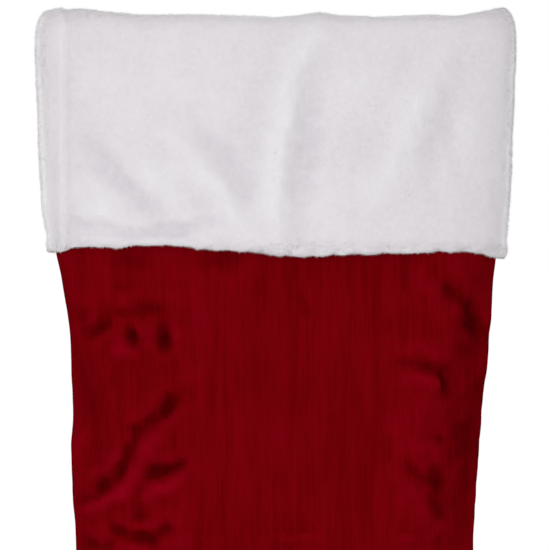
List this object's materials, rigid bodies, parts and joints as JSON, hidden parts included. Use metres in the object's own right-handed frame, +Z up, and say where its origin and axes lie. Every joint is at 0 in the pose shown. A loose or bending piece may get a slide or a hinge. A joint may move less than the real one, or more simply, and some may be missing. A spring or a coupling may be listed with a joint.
{
  "type": "hanging stocking",
  "caption": "Soft stocking bag with a lined velvet leg and foot, a fold-over plush cuff and a sewn hanging loop that folds down behind the cuff.",
  "frame": {"origin": "middle of the fold line of the hanging loop, at the back of the cuff near its rim, on the heel side", "axes": "+Z up as it hangs, +X towards the toe, -Y out of the front"},
  "size_m": [0.2814, 0.0552, 0.4983],
  "materials": {
    "velvet": "dark red short-pile velvet",
    "plush": "white long-pile plush",
    "lining": "plain-woven ivory lining cloth",
    "strap": "white woven strap",
    "white_thread": "white sewing thread",
    "red_thread": "dark red sewing thread"
  },
  "bodies": {
    "stocking": {"front_panel": "velvet", "back_panel": "velvet", "front_lining": "lining", "back_lining": "lining", "cuff_band": "plush", "loop_tab": "strap", "loop_bartack": "white_thread", "seam_thread": "red_thread", "lining_seam_thread": "white_thread", "rim_thread": "white_thread", "hem_thread": "white_thread", "lap_seam_thread": "white_thread"},
    "loop": {"hanging_loop": "strap"}
  },
  "joints": [
    {"name": "loop_flip", "type": "hinge", "parent": "stocking", "child": "loop", "pos_m": [0, 0, 0], "axis": [0.97, 0.2431, 0], "range_deg": [0, 180]}
  ]
}
